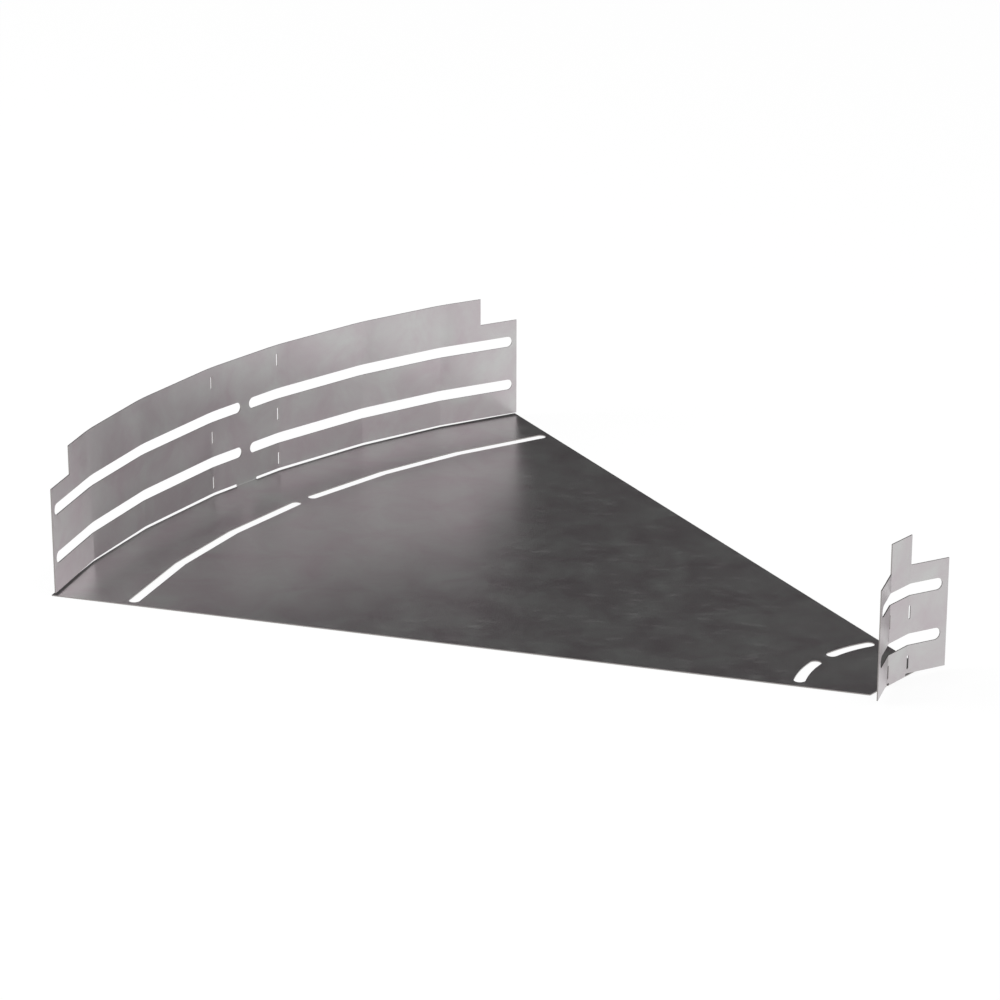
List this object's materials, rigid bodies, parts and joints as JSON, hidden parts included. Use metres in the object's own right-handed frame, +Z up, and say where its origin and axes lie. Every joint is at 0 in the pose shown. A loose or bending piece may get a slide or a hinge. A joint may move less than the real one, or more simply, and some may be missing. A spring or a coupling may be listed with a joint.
{
  "type": "cable tray bend",
  "caption": "Flat bend for a wide cable tray, folded from one steel sheet, with long bolt slots in the floor and both walls, and lowered wall ends for joining.",
  "frame": {"origin": "middle of the bounding box in plan, at the underside of the floor", "axes": "+X along the middle of the bend, towards the outer wall; +Y across it; +Z up out of the tray"},
  "size_m": [0.6164, 0.5162, 0.1029],
  "materials": {
    "steel": "smooth bare cold-rolled sheet with a soft reflection"
  },
  "bodies": {
    "root": {"bend_sheet": "steel"}
  },
  "joints": []
}
